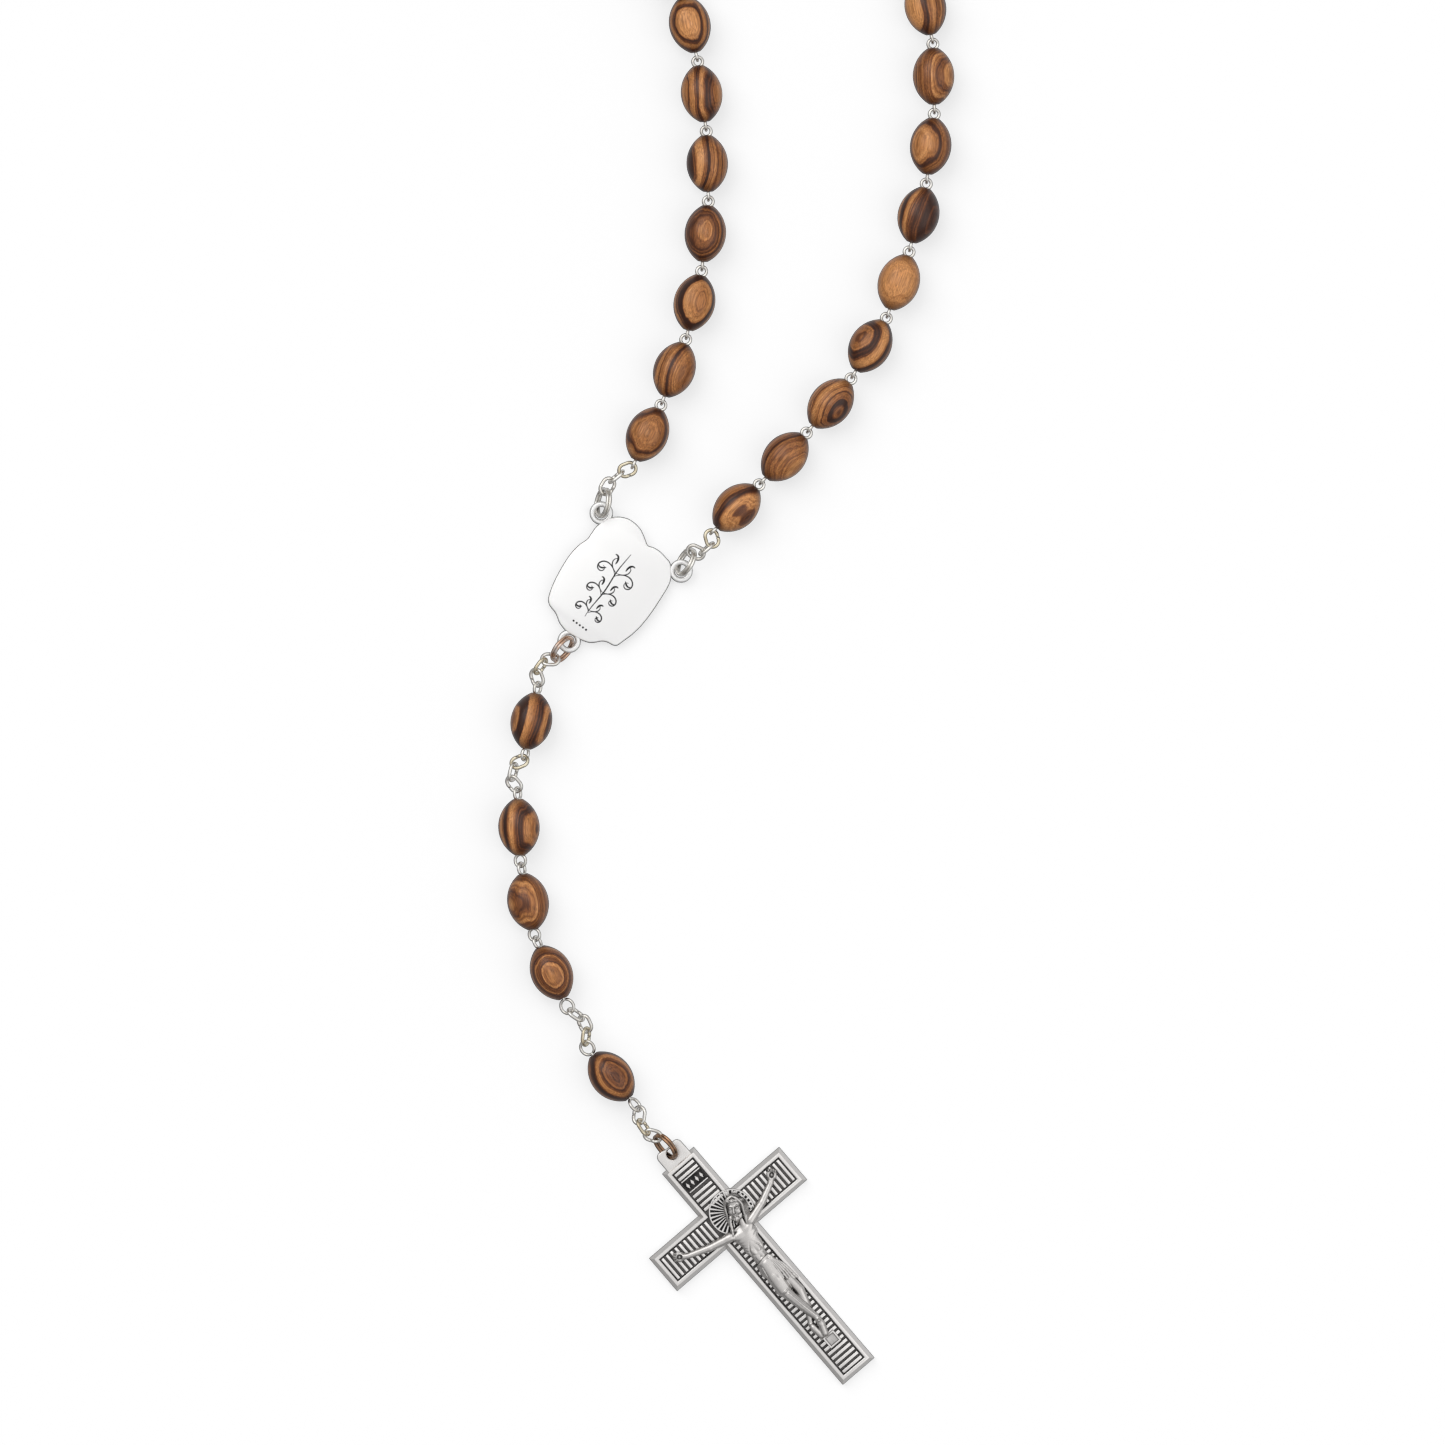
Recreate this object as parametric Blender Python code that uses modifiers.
"""A five-decade wooden rosary lying flat on a table, modelled piece by piece.

The frame has +Z up. The origin is under the middle of the centre medal, and the object rests on z = 0.
Every length below is in millimetres, and each mesh is scaled to metres when it becomes an object.
"""

import math

import bmesh
import bpy
from mathutils import Matrix, Vector

MM = 0.001
WELD = 0.003

# Wooden beads: an arc turned about the thread, cut flat at both ends.
BEAD_RADIUS = 2.92
BEAD_HALF_LENGTH = 4.0
BEAD_SIDE_CURVE = 4.66
BEAD_BORE_RADIUS = 0.45
THREAD_HEIGHT = 3.0

# Eye pins: one wire through each bead with an eye at either end.
PIN_WIRE = 0.19
PIN_SHANK = 0.17
EYE_RADIUS = 0.70
WIDE_EYE_RADIUS = 1.05
NESTED_EYE_OFFSET = 0.56
FREE_EYE_OFFSET = 0.93
WIDE_EYE_OFFSET = 1.29

# Oval chain links.
LINK_WIRE = 0.22
LINK_LENGTH = 2.90
LINK_WIDTH = 2.20

# Split rings: a wire wound twice.
RING_RADIUS = 2.0
RING_WIRE = 0.20
RING_COIL_STEP = 0.43
RING_CENTRE_HEIGHT = 2.25
RING_CENTRE_OUT = 1.45

PLAY = 0.12
RING_PLAY = 0.20

# Centre medal.
MEDAL_THICKNESS = 1.4
MEDAL_TILT = math.radians(-36.0)
MEDAL_FOOT = Vector((-5.4, -7.6, 0.0))
EYELET_RADIUS = 1.64
EYELET_HOLE = 0.92
EYELET_LOW = 0.6
UPPER_EYELET_ACROSS = 7.03
UPPER_EYELET_UP = 17.5

# Crucifix.
CROSS_HEADING = math.radians(-49.4)
BAIL_PLACE = Vector((9.3, -80.75, 0.0))
CROSS_HEIGHT = 39.6
CROSS_SPAN = 24.4
BEAM_WIDTH = 5.9
ARM_WIDTH = 6.1
ARM_DROP = 11.0
CROSS_THICKNESS = 1.9
RIM_WIDTH = 1.0
FIELD_DEPTH = 0.45
BAIL_WIDTH = 4.2
BAIL_REACH = 2.6
BAIL_HOLE_UP = 1.3
BAIL_HOLE = 0.80
BAIL_LOW = 0.65
BAIL_HIGH = 1.55
HALO_PLACE = (1.1, -10.5)
HALO_RADIUS = 3.3

BEADS_PER_DECADE = 10

# How far each joint turns either way from rest, in degrees.
BEAD_SWING = (-70, 70)
FIRST_BEAD_SWING = (-45, 45)
LINK_SWING = (-35, 35)
SIDEWAYS_SWING = (-50, 50)
HANGING_SWING = (-45, 45)
RING_SWING = (-60, 18)
CRUCIFIX_SWING = (-60, 15)

# The way each split ring leaves its eyelet, in degrees from +X.
RIGHT_RING_HEADING = 62.0
LEFT_RING_HEADING = 80.0
PENDANT_RING_HEADING = 232.0

# The two strands of the loop, as points that the thread passes on its way from the medal.
RIGHT_STRAND = [(14.8, 7.7), (18.4, 11.4), (25.3, 18.4), (32.0, 26.4), (38.0, 34.3), (41.7, 43.6),
                (44.6, 53.3), (46.4, 62.9), (46.7, 72.6), (46.0, 81.9)]
LEFT_STRAND = [(3.6, 17.1), (5.8, 21.9), (10.0, 31.4), (12.7, 41.1), (14.3, 50.7), (14.4, 61.0),
               (13.6, 70.4), (11.6, 80.0)]
# The rest of the loop, before it is stretched so that the thread has the right length.
FAR_LOOP = [(43.5, 94.0), (38.0, 112.0), (24.0, 134.0), (0.0, 151.0), (-28.0, 158.0), (-55.0, 152.0),
            (-73.0, 136.0), (-76.0, 118.0), (-62.0, 104.0), (-38.0, 102.0), (-14.0, 101.0), (5.0, 92.5)]
FAR_PIVOT = Vector((26.0, 92.0))

# How far along its thread each far strand begins, counted in links and beads from the end of the decade.
FAR_CUTS = [0, 11, 21]
STRAND_STEM = 0.42

SILVER = (0.78, 0.76, 0.73)
STEEL = (0.66, 0.65, 0.62)
GILT = (0.72, 0.66, 0.50)
COPPER = (0.55, 0.33, 0.22)
BRONZE = (0.30, 0.22, 0.16)
WOOD = (0.46, 0.25, 0.11)

UP = Vector((0.0, 0.0, 1.0))
SHARP_EDGE = math.radians(40)


def clear_scene():
    for thing in list(bpy.data.objects):
        bpy.data.objects.remove(thing)


def collection(name):
    made = bpy.data.collections.new(name)
    bpy.context.scene.collection.children.link(made)
    return made


def metal(name, colour, roughness):
    made = bpy.data.materials.new(name)
    made.use_nodes = True
    shader = made.node_tree.nodes["Principled BSDF"]
    shader.inputs["Base Color"].default_value = (*colour, 1.0)
    shader.inputs["Roughness"].default_value = roughness
    shader.inputs["Metallic"].default_value = 1.0
    return made


def wood(name, colour):
    made = metal(name, colour, 0.35)
    made.node_tree.nodes["Principled BSDF"].inputs["Metallic"].default_value = 0.0
    return made


def direction(angle):
    return Vector((math.cos(angle), math.sin(angle), 0.0))


# ---- Tools that make closed meshes, all in millimetres ----


def bake(thing):
    """The evaluated mesh of a helper object, which is then removed, with loose caps welded on."""
    bpy.context.view_layer.update()
    graph = bpy.context.evaluated_depsgraph_get()
    made = bpy.data.meshes.new_from_object(thing.evaluated_get(graph))
    made.transform(thing.matrix_world)
    source = thing.data
    bpy.data.objects.remove(thing)
    if isinstance(source, bpy.types.Curve):
        bpy.data.curves.remove(source)
    else:
        bpy.data.meshes.remove(source)
    shape = bmesh.new()
    shape.from_mesh(made)
    bmesh.ops.remove_doubles(shape, verts=shape.verts, dist=WELD)
    bmesh.ops.recalc_face_normals(shape, faces=shape.faces)
    shape.to_mesh(made)
    shape.free()
    return made


def helper(name, data):
    made = bpy.data.objects.new(name, data)
    cutters.objects.link(made)
    made.hide_render = True
    made.display_type = "WIRE"
    return made


def wire_mesh(points, radius, closed=False, sides_level=1, radii=None):
    """A round wire along the points, whose radius may vary from point to point."""
    curve = bpy.data.curves.new("wire", "CURVE")
    curve.dimensions = "3D"
    curve.bevel_depth = radius
    curve.bevel_resolution = sides_level
    curve.use_fill_caps = not closed
    spline = curve.splines.new("POLY")
    spline.points.add(len(points) - 1)
    spline.use_cyclic_u = closed
    for number, point in enumerate(points):
        spline.points[number].co = (*point, 1.0)
        if radii:
            spline.points[number].radius = radii[number] / radius
    return bake(helper("wire", curve))


def oval_points(length, width, count):
    """Centre line of an oval of wire in the XY plane, with its start end at x = 0."""
    radius = width / 2
    straight = (length - width) / 2
    points = []
    for number in range(count):
        angle = 2 * math.pi * (number + 0.5) / count
        shift = straight if math.cos(angle) > 0 else -straight
        points.append((length / 2 + shift + radius * math.cos(angle), radius * math.sin(angle), 0.0))
    return points


def turned_mesh(profile, sides):
    """A solid turned about X from (x, radius) pairs that run along its outer side."""
    points = [Vector((radius, 0.0, -along)) for along, radius in profile]
    data = bpy.data.meshes.new("profile")
    data.from_pydata(points, [(n, n + 1) for n in range(len(points) - 1)], [])
    turned = helper("profile", data)
    screw = turned.modifiers.new("turn", "SCREW")
    screw.axis = "Z"
    screw.steps = sides
    screw.render_steps = sides
    screw.use_merge_vertices = True
    screw.merge_threshold = 0.0001
    turned.matrix_world = Matrix.Rotation(math.radians(90), 4, "Y")
    made = bake(turned)
    made.transform(Matrix.Scale(-1, 4, Vector((1, 0, 0))))
    made.flip_normals()
    return made


def slab_mesh(outline, low, high):
    """A flat outline between two heights."""
    curve = bpy.data.curves.new("outline", "CURVE")
    curve.dimensions = "2D"
    curve.fill_mode = "BOTH"
    curve.extrude = (high - low) / 2
    spline = curve.splines.new("POLY")
    spline.points.add(len(outline) - 1)
    spline.use_cyclic_u = True
    for number, point in enumerate(outline):
        spline.points[number].co = (point[0], point[1], 0.0, 1.0)
    thing = helper("outline", curve)
    thing.location.z = (low + high) / 2
    made = bake(thing)
    shape = bmesh.new()
    shape.from_mesh(made)
    # The fill may lay a thin triangle along two edges in line, so each face is made whole again.
    bmesh.ops.dissolve_limit(shape, angle_limit=math.radians(0.5), verts=shape.verts, edges=shape.edges)
    shape.to_mesh(made)
    shape.free()
    return made


def disc_mesh(place, radius, low, high, sides):
    shape = bmesh.new()
    middle = Matrix.Translation((place[0], place[1], (low + high) / 2))
    bmesh.ops.create_cone(shape, cap_ends=True, segments=sides, radius1=radius, radius2=radius,
                          depth=high - low, matrix=middle)
    made = bpy.data.meshes.new("disc")
    shape.to_mesh(made)
    shape.free()
    return made


def ball_mesh(place, size, columns=10, rows=7):
    shape = bmesh.new()
    stretch = Matrix.Translation(place) @ Matrix.Diagonal((*size, 1.0))
    bmesh.ops.create_uvsphere(shape, u_segments=columns, v_segments=rows, radius=1.0, matrix=stretch)
    made = bpy.data.meshes.new("ball")
    shape.to_mesh(made)
    shape.free()
    return made


def combine(base, others, operation):
    """The base mesh joined with, or cut by, each of the others."""
    for other in others:
        body = helper("body", base)
        tool = helper("tool", other)
        step = body.modifiers.new("combine", "BOOLEAN")
        step.operation = operation
        step.solver = "EXACT"
        step.object = tool
        base = bake(body)
        bpy.data.objects.remove(tool)
        bpy.data.meshes.remove(other)
    return base


def add_part(name, mesh, place, pivot, material, smooth=True):
    """Turns a mesh in local millimetres into an object, with its origin on its joint's axis."""
    mesh.transform(Matrix.Translation(-pivot) @ place)
    mesh.transform(Matrix.Scale(MM, 4))
    mesh.name = name
    if smooth:
        mesh.shade_smooth()
        mesh.set_sharp_from_angle(angle=SHARP_EDGE)
    made = bpy.data.objects.new(name, mesh)
    made.location = pivot * MM
    mesh.materials.clear()
    mesh.materials.append(material)
    parts.objects.link(made)
    return made


def hinge(child, parent, axis, low, high):
    """Notes the joint that carries a piece: it turns about this axis through its own origin."""
    child["carried_by"] = parent.name
    child["hinge_axis"] = [round(value, 6) for value in axis.normalized()]
    child["hinge_range"] = [low, high]


# ---- Pieces in their own frames: +X along the thread, +Y across, +Z up ----


def bead_profile(bored):
    """Outer side of a bead about its middle, as (x, radius), with or without a bore for its pin."""
    profile = []
    for share in (-1.0, -0.84, -0.5, 0.0, 0.5, 0.84, 1.0):
        along = share * BEAD_HALF_LENGTH
        sag = BEAD_SIDE_CURVE - math.sqrt(BEAD_SIDE_CURVE ** 2 - along ** 2)
        profile.append((along, BEAD_RADIUS - sag))
    if bored:
        ends = [(-BEAD_HALF_LENGTH, BEAD_BORE_RADIUS), (BEAD_HALF_LENGTH, BEAD_BORE_RADIUS)]
        return [ends[0]] + profile + [ends[1], ends[0]]
    return [(-BEAD_HALF_LENGTH, 0.0)] + profile + [(BEAD_HALF_LENGTH, 0.0)]


def eye_mesh(centre_x, radius, upright, count, sides_level):
    """One eye of a pin: a closed ring of wire, flat or standing on edge."""
    made = wire_mesh(oval_points(2 * radius, 2 * radius, count), PIN_WIRE, True, sides_level)
    if upright:
        made.transform(Matrix.Rotation(math.radians(90), 4, "X"))
    made.transform(Matrix.Translation((centre_x - radius, 0.0, 0.0)))
    return made


def link_mesh(upright, start):
    """A chain link whose start wire is centred at x = start."""
    made = wire_mesh(oval_points(LINK_LENGTH - 2 * LINK_WIRE, LINK_WIDTH - 2 * LINK_WIRE, 10), LINK_WIRE, True)
    if upright:
        made.transform(Matrix.Rotation(math.radians(90), 4, "X"))
    made.transform(Matrix.Translation((start, 0.0, 0.0)))
    return made


def split_ring_mesh():
    """Two turns of wire about Y, centred on the origin."""
    turns = 1.94
    count = 26
    points = []
    for number in range(count + 1):
        share = number / count
        angle = 2 * math.pi * turns * share + math.radians(200)
        # The wire crosses from one turn to the next in a short step.
        side = min(1.0, max(0.0, (share - 0.42) / 0.16))
        across = RING_COIL_STEP * (side - 0.5)
        points.append((RING_RADIUS * math.cos(angle), across, RING_RADIUS * math.sin(angle)))
    return wire_mesh(points, RING_WIRE)


def frame_at(place, heading):
    """Matrix of a piece at this place whose +X runs along the heading, level with the table."""
    return Matrix.Translation(place) @ Matrix.Rotation(math.atan2(heading.y, heading.x), 4, "Z")


# ---- Where the thread runs ----


def overlap(wire, other, play=PLAY):
    """How far the centre of one wire hooks past the centre of the next."""
    return wire + other + play


LINK_REACH = LINK_LENGTH - 2 * LINK_WIRE
EYE_REACH = BEAD_HALF_LENGTH + NESTED_EYE_OFFSET + EYE_RADIUS
FREE_EYE_REACH = BEAD_HALF_LENGTH + FREE_EYE_OFFSET + EYE_RADIUS
WIDE_EYE_REACH = BEAD_HALF_LENGTH + WIDE_EYE_OFFSET + WIDE_EYE_RADIUS
EYE_HOOK = overlap(PIN_WIRE, PIN_WIRE, 0.14)
LINK_HOOK = overlap(LINK_WIRE, LINK_WIRE)
PIN_HOOK = overlap(LINK_WIRE, PIN_WIRE)
RING_HOOK = overlap(LINK_WIRE, RING_WIRE, RING_PLAY)


def flat_link(first_hook, last_hook):
    """Length that a flat link spans between the upright wires that it holds."""
    return LINK_REACH - first_hook - last_hook


def slack_path(start, end, lengths, side):
    """Points of a slack chain from start to end that turns by the same angle at each link."""

    def chain(turn):
        points = [Vector((0.0, 0.0))]
        angle = 0.0
        for length in lengths:
            points.append(points[-1] + Vector((math.cos(angle), math.sin(angle))) * length)
            angle += turn
        return points

    span = (end - start).length
    low, high = 0.0, math.radians(120)
    for _ in range(60):
        middle = (low + high) / 2
        if chain(middle)[-1].length > span:
            low = middle
        else:
            high = middle
    points = chain(low * side)
    wanted = math.atan2(end.y - start.y, end.x - start.x)
    turn = wanted - math.atan2(points[-1].y, points[-1].x)
    spin = Matrix.Rotation(turn, 2)
    return [start + spin @ point for point in points]


def smooth_curve(knots, steps=12):
    """A Catmull-Rom curve through the knots, as a fine list of points."""
    padded = [2 * knots[0] - knots[1]] + knots + [2 * knots[-1] - knots[-2]]
    points = []
    for number in range(1, len(padded) - 2):
        a, b, c, d = padded[number - 1:number + 3]
        for step in range(steps):
            t = step / steps
            points.append(0.5 * (2 * b + (c - a) * t + (2 * a - 5 * b + 4 * c - d) * t ** 2
                                 + (3 * b - a - 3 * c + d) * t ** 3))
    points.append(knots[-1])
    return points


def walk(curve, lengths):
    """Steps of these lengths along a curve: their points, and how far short of its end they stop."""
    places = [curve[0]]
    number = 0
    for length in lengths:
        here = places[-1]
        while number + 1 < len(curve) and (curve[number + 1] - here).length < length:
            number += 1
        if number + 1 >= len(curve):
            return places, -1.0
        a, b = curve[number], curve[number + 1]
        low, high = 0.0, 1.0
        for _ in range(40):
            middle = (low + high) / 2
            if (a.lerp(b, middle) - here).length < length:
                low = middle
            else:
                high = middle
        places.append(a.lerp(b, low))
    return places, (curve[-1] - places[-1]).length


def far_items(last_upright):
    """One side of the far loop from the end of a decade: (kind, start upright, end upright, length)."""
    lift = [("link", True, True, LINK_REACH), ("link", False, False, flat_link(LINK_HOOK, LINK_HOOK)),
            ("link", True, True, LINK_REACH), ("bead", False, True, 2 * EYE_REACH - PIN_HOOK)]
    fall = [("link", False, False, flat_link(PIN_HOOK, LINK_HOOK)), ("link", True, True, LINK_REACH),
            ("link", False, False, flat_link(LINK_HOOK, PIN_HOOK))]
    bead = [("bead", True, False, 2 * EYE_REACH - EYE_HOOK)]
    last = [("bead", True, last_upright, 2 * EYE_REACH - (0.0 if last_upright else EYE_HOOK))]
    return lift + fall + 10 * bead + lift + fall + 4 * bead + last


def loop_layout():
    """Points of the whole loop from the right ring round to the left one."""
    bead_length = 2 * EYE_REACH - EYE_HOOK
    near = BEADS_PER_DECADE * [bead_length]
    right_far = [item[3] for item in far_items(False)]
    left_far = [item[3] for item in far_items(True)]
    lengths = near + right_far + left_far[::-1] + near
    right = [Vector(point) for point in RIGHT_STRAND]
    left = [Vector(point) for point in LEFT_STRAND]
    low, high = 0.8, 2.0
    for _ in range(50):
        scale = (low + high) / 2
        far = [FAR_PIVOT + (Vector(point) - FAR_PIVOT) * scale for point in FAR_LOOP]
        far[0] = Vector(FAR_LOOP[0])
        far[-1] = Vector(FAR_LOOP[-1])
        curve = smooth_curve(right + far + left[::-1])
        places, rest = walk(curve, lengths[:-1])
        if rest < 0 or rest < lengths[-1]:
            low = scale
        else:
            high = scale
    places.append(curve[-1])
    split = 1 + len(near) + len(right_far)
    return places[:split], places[split - 1:][::-1]


def lifted(point):
    return Vector((point[0], point[1], THREAD_HEIGHT))


class Station:
    """Where a piece lies: the points at which its neighbours' upright wires meet it, and its direction."""

    def __init__(self, start, end):
        self.start = start
        self.end = end
        self.heading = (end - start).normalized()
        self.across = UP.cross(self.heading)

    def frame(self):
        return frame_at(self.start, self.heading)


def start_pivot(before, here, upright, hook):
    """The joint at the start of a piece lies on whichever of the two wires is flat."""
    if upright:
        return here.start + hook * before.heading, before.across
    return here.start - hook * here.heading, here.across


# ---- Wooden beads, eye pins and links ----


def bead_on_pin():
    """A decade bead with the eyes of its pin, upright at its start and flat at its end."""
    mesh = turned_mesh(bead_profile(False), 9)
    mesh.transform(Matrix.Translation((EYE_REACH, 0.0, 0.0)))
    reach = BEAD_HALF_LENGTH + NESTED_EYE_OFFSET
    first = eye_mesh(EYE_REACH - reach, EYE_RADIUS, True, 9, 0)
    last = eye_mesh(EYE_REACH + reach, EYE_RADIUS, False, 9, 0)
    return combine(mesh, [first, last], "UNION")


def pin_mesh(bead_x, start_eye, end_eye):
    """An eye pin: (offset, radius, upright) of each eye, and the wire between them."""
    first_x = bead_x - BEAD_HALF_LENGTH - start_eye[0]
    last_x = bead_x + BEAD_HALF_LENGTH + end_eye[0]
    sunk = 0.05
    ends = [(first_x + start_eye[1] - sunk, 0.0, 0.0), (last_x - end_eye[1] + sunk, 0.0, 0.0)]
    wire = wire_mesh(ends, PIN_SHANK)
    first = eye_mesh(first_x, start_eye[1], start_eye[2], 10, 1)
    last = eye_mesh(last_x, end_eye[1], end_eye[2], 10, 1)
    return combine(wire, [first, last], "UNION")


def strand_mesh(items, places):
    """A run of far links and beads in one piece, with a free eye or link at its two ends."""
    points = []
    radii = []
    eyes = []
    for number, (kind, start_upright, end_upright, length) in enumerate(items):
        place = Station(lifted(places[number]), lifted(places[number + 1]))
        first = number == 0
        final = number == len(items) - 1
        if kind == "link":
            if first:
                ring = link_mesh(start_upright, 0.0 if start_upright else -PIN_HOOK)
                ring.transform(place.frame())
                eyes.append(ring)
                points.append(place.end - 0.1 * place.heading)
                radii.append(STRAND_STEM)
            continue
        bead_x = EYE_REACH if start_upright else EYE_REACH - PIN_HOOK
        for along, radius in bead_profile(False):
            if radius > 0:
                points.append(place.start + (bead_x + along) * place.heading)
                radii.append(radius)
        reach = BEAD_HALF_LENGTH + NESTED_EYE_OFFSET
        for at_end, centre, upright in ((first, -reach, start_upright), (final, reach, end_upright)):
            if at_end:
                ring = eye_mesh(bead_x + centre, EYE_RADIUS, upright, 9, 0)
                ring.transform(place.frame())
                eyes.append(ring)
    tube = wire_mesh([tuple(point) for point in points], 1.0, sides_level=2, radii=radii)
    return combine(tube, eyes, "UNION")


# ---- Centre medal ----


def medal_outline():
    """Right and left sides of the medal, up from its foot, in its own frame."""
    return [(-1.3, 1.15), (1.26, 1.06), (2.31, 1.27), (3.42, 2.36), (4.54, 3.03), (5.79, 3.39), (6.5, 5.93),
            (6.72, 9.34), (6.57, 13.3), (6.57, 15.7), (5.24, 17.7), (3.76, 18.26), (2.43, 18.25), (1.17, 17.7),
            (-0.08, 18.7), (-1.26, 19.2), (-2.96, 19.3), (-4.46, 18.8), (-5.64, 18.0), (-6.34, 15.8),
            (-6.33, 13.4), (-6.79, 8.98), (-6.5, 5.96), (-5.7, 3.03), (-4.76, 2.64), (-3.8, 2.24), (-3.19, 1.6)]


def medal_mesh():
    plate = slab_mesh(medal_outline(), 0.0, MEDAL_THICKNESS)
    eyelets = [(-UPPER_EYELET_ACROSS, UPPER_EYELET_UP), (UPPER_EYELET_ACROSS, UPPER_EYELET_UP), (0.0, 0.0)]
    rings = [disc_mesh(place, EYELET_RADIUS, EYELET_LOW, MEDAL_THICKNESS - 0.05, 20) for place in eyelets]
    holes = [disc_mesh(place, EYELET_HOLE, -1.0, MEDAL_THICKNESS + 1.0, 16) for place in eyelets]
    return combine(combine(plate, rings, "UNION"), holes, "DIFFERENCE")


def medal_point(across, up):
    return MEDAL_FOOT + Matrix.Rotation(MEDAL_TILT, 3, "Z") @ Vector((across, up, 0.0))


# ---- Crucifix, in its own frame: +X to the viewer's right, +Y up its beam, top edge at y = 0 ----


def cross_bars(inset, low, high):
    """The beam and the arms of the cross as two slabs, with their edges drawn in by the inset."""
    beam = BEAM_WIDTH / 2 - inset
    span = CROSS_SPAN / 2 - inset
    arm = ARM_WIDTH / 2 - inset
    upright = [(-beam, inset - CROSS_HEIGHT), (beam, inset - CROSS_HEIGHT), (beam, -inset), (-beam, -inset)]
    level = [(-span, -ARM_DROP - arm), (span, -ARM_DROP - arm), (span, arm - ARM_DROP), (-span, arm - ARM_DROP)]
    return [slab_mesh(upright, low, high), slab_mesh(level, low, high)]


def limb(points, radii, flatten, base):
    """A tapering limb that lies on the field of the cross."""
    made = wire_mesh(points, 1.0, sides_level=1, radii=radii)
    made.transform(Matrix.Diagonal((1.0, 1.0, flatten, 1.0)))
    made.transform(Matrix.Translation((0.0, 0.0, base)))
    return made


def corpus_meshes():
    """The figure in simple solids: arms, trunk and legs, cloth, head and footrest."""
    field = CROSS_THICKNESS - FIELD_DEPTH
    arms = limb([(-9.6, -10.0, 0), (-7.0, -10.7, 0), (-4.0, -11.8, 0), (-1.9, -12.9, 0), (1.9, -12.9, 0),
                 (4.0, -11.6, 0), (6.6, -10.5, 0), (9.2, -9.8, 0)],
                [0.35, 0.5, 0.6, 0.85, 0.85, 0.6, 0.5, 0.35], 0.8, field + 0.25)
    trunk = limb([(0.1, -12.0, 0), (0.1, -14.4, 0), (0.0, -17.5, 0), (0.0, -20.5, 0), (0.2, -24.0, 0),
                  (0.1, -26.0, 0), (-0.1, -29.5, 0), (-0.1, -31.6, 0)],
                 [1.5, 1.85, 1.35, 1.75, 1.35, 1.15, 0.75, 0.5], 0.62, field + 0.2)
    cloth = ball_mesh((0.6, -20.8, field + 0.3), (2.2, 1.9, 0.95))
    head = ball_mesh((1.6, -10.6, field + 0.75), (1.15, 1.5, 0.95))
    halo = disc_mesh(HALO_PLACE, HALO_RADIUS, field - 0.2, CROSS_THICKNESS + 0.05, 24)
    rest = slab_mesh([(-1.0, -34.2), (1.0, -34.2), (1.0, -31.9), (-1.0, -31.9)], field - 0.2, field + 0.55)
    plaque = slab_mesh([(-1.7, -4.6), (1.7, -4.6), (1.7, -2.6), (-1.7, -2.6)], field - 0.2, field + 0.35)
    return [halo, plaque, rest, arms, trunk, cloth, head]


def crucifix_mesh():
    beam, arms = cross_bars(0.0, 0.0, CROSS_THICKNESS)
    fields = cross_bars(RIM_WIDTH, CROSS_THICKNESS - FIELD_DEPTH, CROSS_THICKNESS + 1.0)
    bail = slab_mesh([(-BAIL_WIDTH / 2, -0.6), (BAIL_WIDTH / 2, -0.6), (BAIL_WIDTH / 2, 1.0),
                      (BAIL_WIDTH / 2 - 0.6, 2.1), (0.7, BAIL_REACH), (-0.7, BAIL_REACH),
                      (-BAIL_WIDTH / 2 + 0.6, 2.1), (-BAIL_WIDTH / 2, 1.0)], BAIL_LOW, BAIL_HIGH)
    hole = disc_mesh((0.0, BAIL_HOLE_UP), BAIL_HOLE, -1.0, CROSS_THICKNESS + 1.0, 16)
    body = combine(combine(beam, [arms], "UNION"), fields, "DIFFERENCE")
    body = combine(body, [bail], "UNION")
    body = combine(body, [hole], "DIFFERENCE")
    return combine(body, corpus_meshes(), "UNION")


# ---- Assembly ----


def ring_station(eyelet, heading):
    """A split ring that stands in a flat eyelet: from its middle to the point where the next link meets it."""
    centre = eyelet + RING_CENTRE_OUT * heading
    centre.z = RING_CENTRE_HEIGHT
    rise = THREAD_HEIGHT - RING_CENTRE_HEIGHT
    grip = centre + math.sqrt(RING_RADIUS ** 2 - rise ** 2) * heading
    grip.z = THREAD_HEIGHT
    station = Station(centre, grip)
    station.heading = heading
    station.across = UP.cross(heading)
    return station


def eyelet_wall(eyelet, heading):
    """The middle of the metal of a medal eyelet on this side of its hole."""
    wall = eyelet + (EYELET_HOLE + EYELET_RADIUS) / 2 * heading
    wall.z = (EYELET_LOW + MEDAL_THICKNESS) / 2
    return wall


def turn_sign(number):
    """The axes flip from one joint to the next, so that a strand with every joint at one limit bends to and fro."""
    return 1 if number % 2 == 0 else -1


def add_ring(name, centre, heading, pivot, material):
    return add_part(name, split_ring_mesh(), frame_at(centre, heading), pivot, material)


def add_medal_ring(name, eyelet, heading, medal_part, material):
    station = ring_station(eyelet, heading)
    ring = add_ring(name, station.start, heading, eyelet_wall(eyelet, heading), material)
    hinge(ring, medal_part, -station.across, *RING_SWING)
    return ring, station


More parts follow.
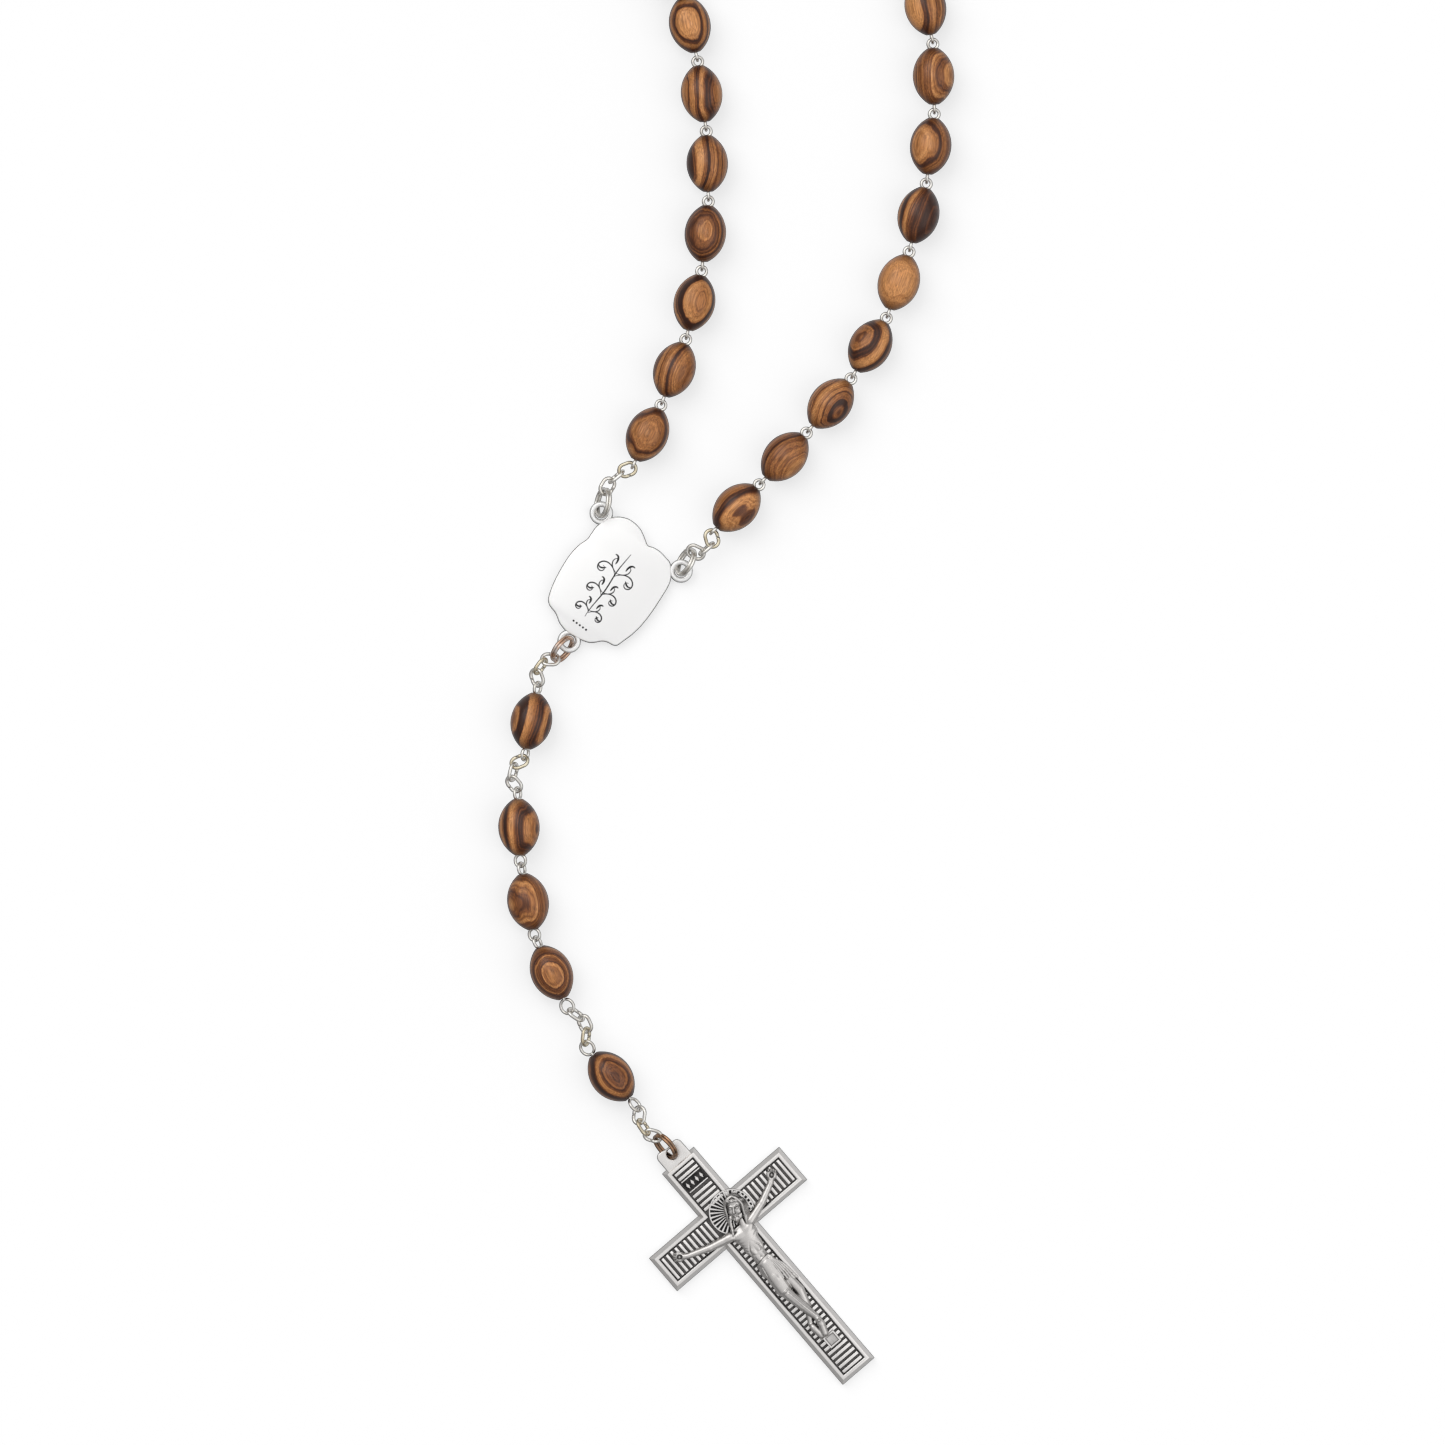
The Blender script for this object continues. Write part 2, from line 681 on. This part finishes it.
def add_links(prefix, start, end, kinds, bulge, before, parent, gilt_link):
    """A chain of links between two points of the thread. Each kind is (upright, length, hook at its start)."""
    plan = slack_path(Vector(start[:2]), Vector(end[:2]), [kind[1] for kind in kinds], bulge)
    for index, (upright, _, hook) in enumerate(kinds):
        place = Station(lifted(plan[index]), lifted(plan[index + 1]))
        pivot, axis = start_pivot(before, place, upright, hook)
        mesh = link_mesh(upright, 0.0 if upright else -hook)
        material = gilt if index == gilt_link else steel
        made = add_part(f"{prefix}_link_{index + 1}", mesh, place.frame(), pivot, material)
        hinge(made, parent, axis * turn_sign(index), *LINK_SWING)
        parent, before = made, place
    return parent, before


def add_loop_side(side, points, items, eyelet, ring_heading, bulge):
    """One side of the loop: its split ring, three links, a decade, and the far strands."""
    ring, before = add_medal_ring(side + "_split_ring", eyelet, ring_heading, medal, ring_steel)
    kinds = [(False, flat_link(RING_HOOK, LINK_HOOK), RING_HOOK), (True, LINK_REACH, LINK_HOOK),
             (False, flat_link(LINK_HOOK, PIN_HOOK), LINK_HOOK)]
    carrier, before = add_links(side + "_chain", before.end, points[0], kinds, bulge, before, ring, 2)
    for number in range(BEADS_PER_DECADE):
        place = Station(lifted(points[number]), lifted(points[number + 1]))
        first = number == 0
        pivot, axis = start_pivot(before, place, True, PIN_HOOK if first else EYE_HOOK)
        name = f"{side}_decade_bead_{number + 1:02d}"
        made = add_part(name, bead_on_pin(), place.frame(), pivot, woods[number % len(woods)])
        hinge(made, carrier, -axis * turn_sign(number), *(FIRST_BEAD_SWING if first else BEAD_SWING))
        carrier, before = made, place
    ends = FAR_CUTS[1:] + [len(items)]
    for number, (low, high) in enumerate(zip(FAR_CUTS, ends)):
        places = points[BEADS_PER_DECADE + low:BEADS_PER_DECADE + high + 1]
        place = Station(lifted(places[0]), lifted(places[1]))
        kind, upright = items[low][:2]
        pivot, axis = start_pivot(before, place, upright, EYE_HOOK if kind == "bead" else PIN_HOOK)
        name = f"{side}_far_strand_{number + 1}"
        made = add_part(name, strand_mesh(items[low:high], places), Matrix.Identity(4), pivot, woods[0])
        hinge(made, carrier, -axis * turn_sign(number), *BEAD_SWING)
        carrier = made
        before = Station(lifted(places[-2]), lifted(places[-1]))


def add_pendant_bead(label, place, bead_x, start_eye, end_eye, hook, before, parent, material):
    """An eye pin and the bead that turns freely on it. With no hook, the pin bends sideways about its own eye."""
    if hook:
        pivot, axis = start_pivot(before, place, start_eye[2], hook)
        limits = HANGING_SWING
    else:
        pivot, axis = place.start.copy(), UP
        limits = SIDEWAYS_SWING
    pin = add_part(label + "_eye_pin", pin_mesh(bead_x, start_eye, end_eye), place.frame(), pivot, steel)
    hinge(pin, parent, -axis, *limits)
    middle = place.start + bead_x * place.heading
    mesh = turned_mesh(bead_profile(True), 12)
    bead = add_part(label + "_bead", mesh, frame_at(middle, place.heading), middle, material)
    hinge(bead, pin, place.heading, 0, 0)
    bead["turns_freely"] = True
    return pin


def heading_of(degrees):
    return direction(math.radians(degrees))


def add_pendant():
    """The pendant below the medal: beads one, three and one, with a chain before and after, and the crucifix."""
    free = (FREE_EYE_OFFSET, EYE_RADIUS)
    wide = (WIDE_EYE_OFFSET, WIDE_EYE_RADIUS)
    heading = heading_of(PENDANT_RING_HEADING)
    parent, before = add_medal_ring("pendant_split_ring", medal_point(0.0, 0.0), heading, medal, copper)

    # First large bead, held by upright eyes at both ends.
    heading = heading_of(-100.7)
    middle = Vector((-10.75, -19.0, THREAD_HEIGHT))
    large = Station(middle - FREE_EYE_REACH * heading, middle + FREE_EYE_REACH * heading)
    kinds = [(False, flat_link(RING_HOOK, LINK_HOOK), RING_HOOK), (True, LINK_REACH, LINK_HOOK),
             (False, flat_link(LINK_HOOK, PIN_HOOK), LINK_HOOK)]
    parent, before = add_links("pendant_upper", before.end, large.start, kinds, 1, before, parent, 1)
    parent = add_pendant_bead("first_our_father", large, FREE_EYE_REACH, (*free, True), (*free, True),
                              PIN_HOOK, before, parent, woods[1])
    before = large

    # Three small beads, each with an upright eye first and a flat eye last.
    step = 2 * FREE_EYE_REACH - EYE_HOOK
    last_step = FREE_EYE_REACH + WIDE_EYE_REACH - PIN_HOOK
    place = Vector((-12.75, -28.5, THREAD_HEIGHT))
    small = []
    for degrees, length in ((-87.6, step), (-79.0, step), (-65.0, last_step)):
        small.append(Station(place, place + length * heading_of(degrees)))
        place = small[-1].end
    kinds = [(False, flat_link(PIN_HOOK, LINK_HOOK), PIN_HOOK), (True, LINK_REACH, LINK_HOOK),
             (False, flat_link(LINK_HOOK, PIN_HOOK), LINK_HOOK)]
    parent, before = add_links("pendant_middle", large.end, small[0].start, kinds, 1, before, parent, 0)
    for number, station in enumerate(small):
        last_eye = (*wide, False) if number == len(small) - 1 else (*free, False)
        parent = add_pendant_bead(f"hail_mary_{number + 1}", station, FREE_EYE_REACH, (*free, True), last_eye,
                                  PIN_HOOK if number == 0 else None, before, parent, woods[2 + number])
        before = station

    # Second large bead, with a wide flat eye first and a wide upright eye last.
    reach = WIDE_EYE_REACH - PIN_HOOK
    start = Vector((-3.1, -65.2, THREAD_HEIGHT))
    large = Station(start, start + (reach + WIDE_EYE_REACH) * heading_of(-50.0))
    kinds = [(True, LINK_REACH, PIN_HOOK), (False, flat_link(LINK_HOOK, LINK_HOOK), LINK_HOOK),
             (True, LINK_REACH, LINK_HOOK)]
    parent, before = add_links("pendant_lower", before.end, large.start, kinds, -1, before, parent, 2)
    parent = add_pendant_bead("second_our_father", large, reach, (*wide, False), (*wide, True),
                              PIN_HOOK, before, parent, woods[0])
    before = large

    # Ring and crucifix.
    down = direction(CROSS_HEADING)
    ring_place = ring_station(BAIL_PLACE, -down)
    kinds = [(False, flat_link(PIN_HOOK, LINK_HOOK), PIN_HOOK), (True, LINK_REACH, LINK_HOOK),
             (False, flat_link(LINK_HOOK, RING_HOOK), LINK_HOOK)]
    parent, before = add_links("crucifix", large.end, ring_place.end, kinds, 1, before, parent, 1)
    pivot = ring_place.end + RING_HOOK * before.heading
    ring = add_ring("crucifix_split_ring", ring_place.start, -down, pivot, bronze)
    hinge(ring, parent, -before.across, *LINK_SWING)
    wall = BAIL_PLACE - (BAIL_HOLE + BAIL_REACH - BAIL_HOLE_UP) / 2 * down
    wall.z = (BAIL_LOW + BAIL_HIGH) / 2
    top = BAIL_PLACE + BAIL_HOLE_UP * down
    place = frame_at(top, direction(CROSS_HEADING + math.radians(90)))
    cross = add_part("crucifix", crucifix_mesh(), place, wall, silver, smooth=False)
    hinge(cross, ring, ring_place.across, *CRUCIFIX_SWING)


clear_scene()
parts = collection("rosary")
cutters = collection("cutters")
cutters.hide_render = True

silver = metal("antique_silver", SILVER, 0.35)
steel = metal("nickel_wire", STEEL, 0.25)
ring_steel = metal("ring_wire", STEEL, 0.3)
gilt = metal("gilt_wire", GILT, 0.28)
copper = metal("copper_wire", COPPER, 0.35)
bronze = metal("bronze_wire", BRONZE, 0.4)
woods = [wood(f"zebrano_{number + 1}", tuple(part * (0.8 + 0.1 * number) for part in WOOD)) for number in range(5)]

right_points, left_points = loop_layout()
medal_place = frame_at(MEDAL_FOOT, direction(MEDAL_TILT))
medal = add_part("centre_medal", medal_mesh(), medal_place, Vector((0.0, 0.0, 0.0)), silver, smooth=False)
right_eyelet = medal_point(UPPER_EYELET_ACROSS, UPPER_EYELET_UP)
left_eyelet = medal_point(-UPPER_EYELET_ACROSS, UPPER_EYELET_UP)
add_loop_side("right", right_points, far_items(False), right_eyelet, heading_of(RIGHT_RING_HEADING), 1)
add_loop_side("left", left_points, far_items(True), left_eyelet, heading_of(LEFT_RING_HEADING), -1)
add_pendant()
